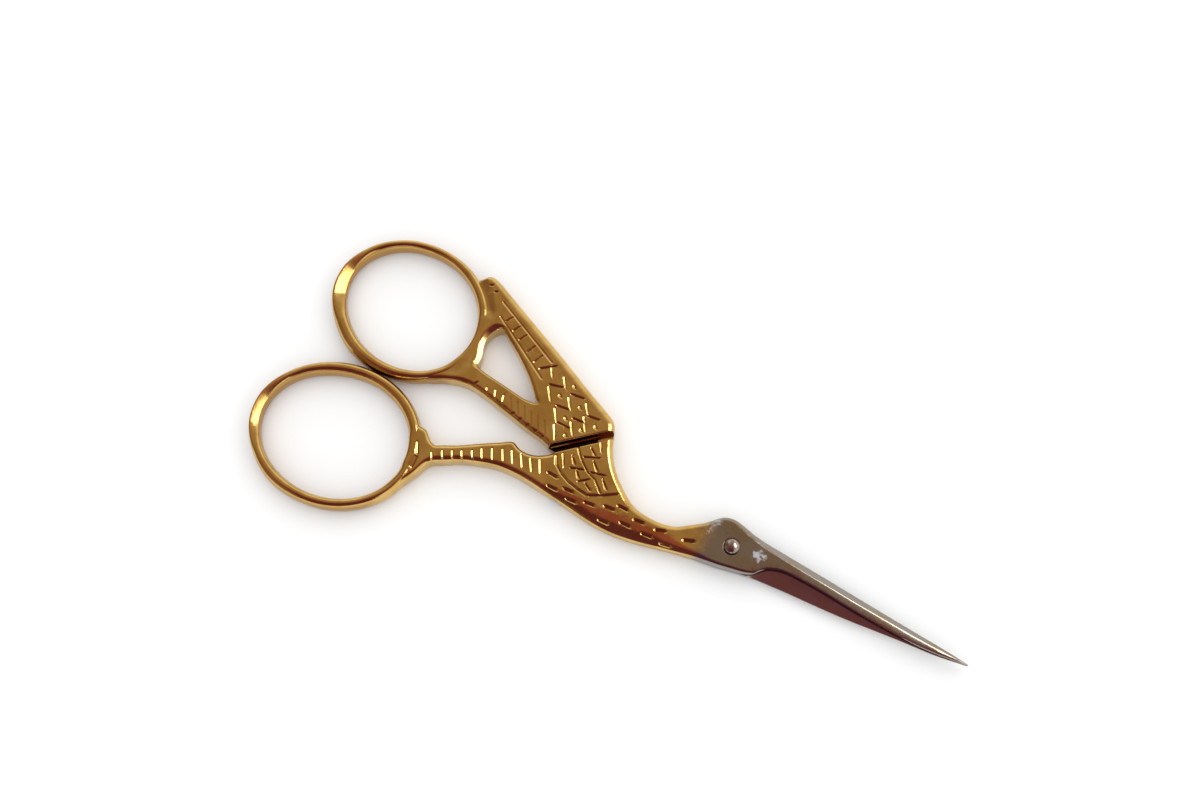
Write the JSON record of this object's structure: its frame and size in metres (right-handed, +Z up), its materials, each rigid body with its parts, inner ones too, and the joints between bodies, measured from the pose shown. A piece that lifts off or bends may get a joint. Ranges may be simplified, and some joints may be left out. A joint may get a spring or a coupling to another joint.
{
  "type": "embroidery scissors",
  "caption": "Small stork-shaped embroidery scissors: gilt finger rings, legs and wing on slim steel blades that turn on a staked screw, the bird's eye.",
  "frame": {"origin": "under the middle of the closed scissors' bounding box, on the surface that they lie on", "axes": "+X from the rings to the tips, +Y to the back half's ring, +Z up out of the side with the peened end of the screw"},
  "size_m": [0.1154, 0.0476, 0.004],
  "materials": {
    "front_half": "polished gold plate on steel from the ring to the neck, wearing to bare ground steel at the head and blade",
    "back_half": "polished gold plate on steel from the ring to the neck, wearing to bare ground steel at the head and blade",
    "pivot_screw": "polished steel"
  },
  "bodies": {
    "back": {"back_half": "back_half"},
    "front": {"front_half": "front_half", "pivot_screw": "pivot_screw"}
  },
  "joints": [
    {"name": "pivot_hinge", "type": "hinge", "parent": "back", "child": "front", "pos_m": [0.01918, 0.00064, 0.0018], "axis": [0, 0, 1], "range_deg": [0, 70]}
  ]
}
